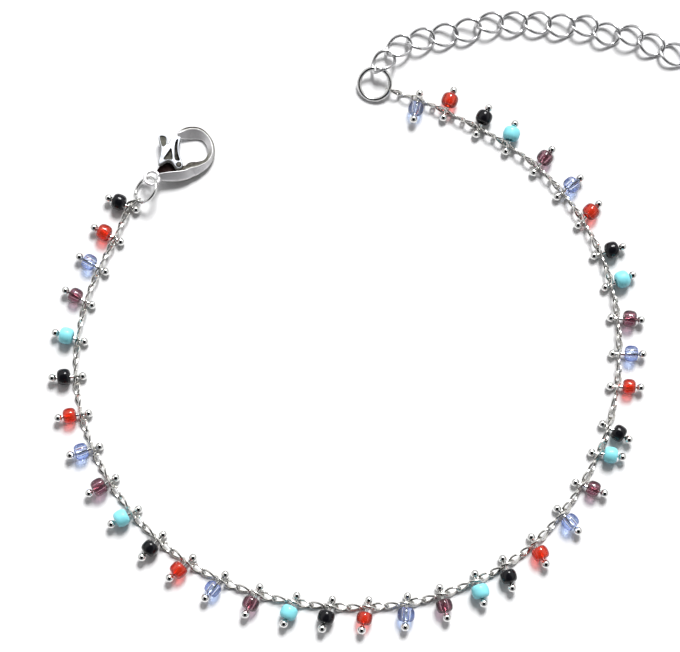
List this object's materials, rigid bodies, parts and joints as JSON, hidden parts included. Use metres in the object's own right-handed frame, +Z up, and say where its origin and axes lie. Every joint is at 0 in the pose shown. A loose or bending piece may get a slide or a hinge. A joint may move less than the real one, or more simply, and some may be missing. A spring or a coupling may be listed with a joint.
{
  "type": "beaded anklet",
  "caption": "Fine silver anklet lying in an open loop, with coloured glass bead drops on ball pins, a lobster clasp at one end and an extender chain at the other.",
  "frame": {"origin": "middle of the whole part's box, on the surface it lies on", "axes": "+X to the right, with the clasp at -X and the extender's free end at +X; +Y towards the extender; +Z up from the surface"},
  "size_m": [0.0942, 0.0939, 0.003],
  "materials": {
    "chain_silver": "bright plated silver, fine oval links",
    "ring_silver": "bright plated silver wire",
    "clasp_silver": "polished cast silver",
    "lever_silver": "polished pressed silver",
    "extender_silver": "bright plated silver wire",
    "black_bead": "opaque black, glossy; the ball pin through it is silver",
    "red_bead": "translucent red, glossy; the ball pin through it is silver",
    "blue_bead": "translucent cobalt blue, glossy; the ball pin through it is silver",
    "purple_bead": "translucent dark purple, glossy; the ball pin through it is silver",
    "turquoise_bead": "opaque turquoise blue with a soft gloss; the ball pin through it is silver"
  },
  "bodies": {
    "anklet": {"chain": "chain_silver", "drop_01": "black_bead", "drop_02": "red_bead", "drop_03": "blue_bead", "drop_04": "purple_bead", "drop_05": "turquoise_bead", "drop_06": "black_bead", "drop_07": "red_bead", "drop_08": "blue_bead", "drop_09": "purple_bead", "drop_10": "turquoise_bead", "drop_11": "black_bead", "drop_12": "red_bead", "drop_13": "blue_bead", "drop_14": "purple_bead", "drop_15": "turquoise_bead", "drop_16": "black_bead", "drop_17": "red_bead", "drop_18": "blue_bead", "drop_19": "purple_bead", "drop_20": "turquoise_bead", "drop_21": "black_bead", "drop_22": "red_bead", "drop_23": "blue_bead", "drop_24": "purple_bead", "drop_25": "turquoise_bead", "drop_26": "black_bead", "drop_27": "red_bead", "drop_28": "blue_bead", "drop_29": "purple_bead", "drop_30": "turquoise_bead", "drop_31": "black_bead", "drop_32": "red_bead", "drop_33": "blue_bead", "drop_34": "purple_bead", "drop_35": "turquoise_bead", "drop_36": "black_bead", "drop_37": "red_bead", "drop_38": "blue_bead", "clasp_ring": "ring_silver", "clasp_body": "clasp_silver", "end_ring": "ring_silver", "extender_link_01": "extender_silver", "extender_link_02": "extender_silver", "extender_link_03": "extender_silver", "extender_link_04": "extender_silver", "extender_link_05": "extender_silver", "extender_link_06": "extender_silver", "extender_link_07": "extender_silver", "extender_link_08": "extender_silver", "extender_link_09": "extender_silver", "extender_link_10": "extender_silver", "extender_link_11": "extender_silver", "extender_link_12": "extender_silver", "extender_link_13": "extender_silver", "extender_link_14": "extender_silver"},
    "lever": {"clasp_lever": "lever_silver"}
  },
  "joints": [
    {"name": "lever_hinge", "type": "hinge", "parent": "anklet", "child": "lever", "pos_m": [-0.02905, 0.022, 0.00129], "axis": [-0.0947, -0.0713, -0.993], "range_deg": [0, 14], "stiffness_Nm_per_rad": 0.003, "springref_deg": -20.05}
  ]
}
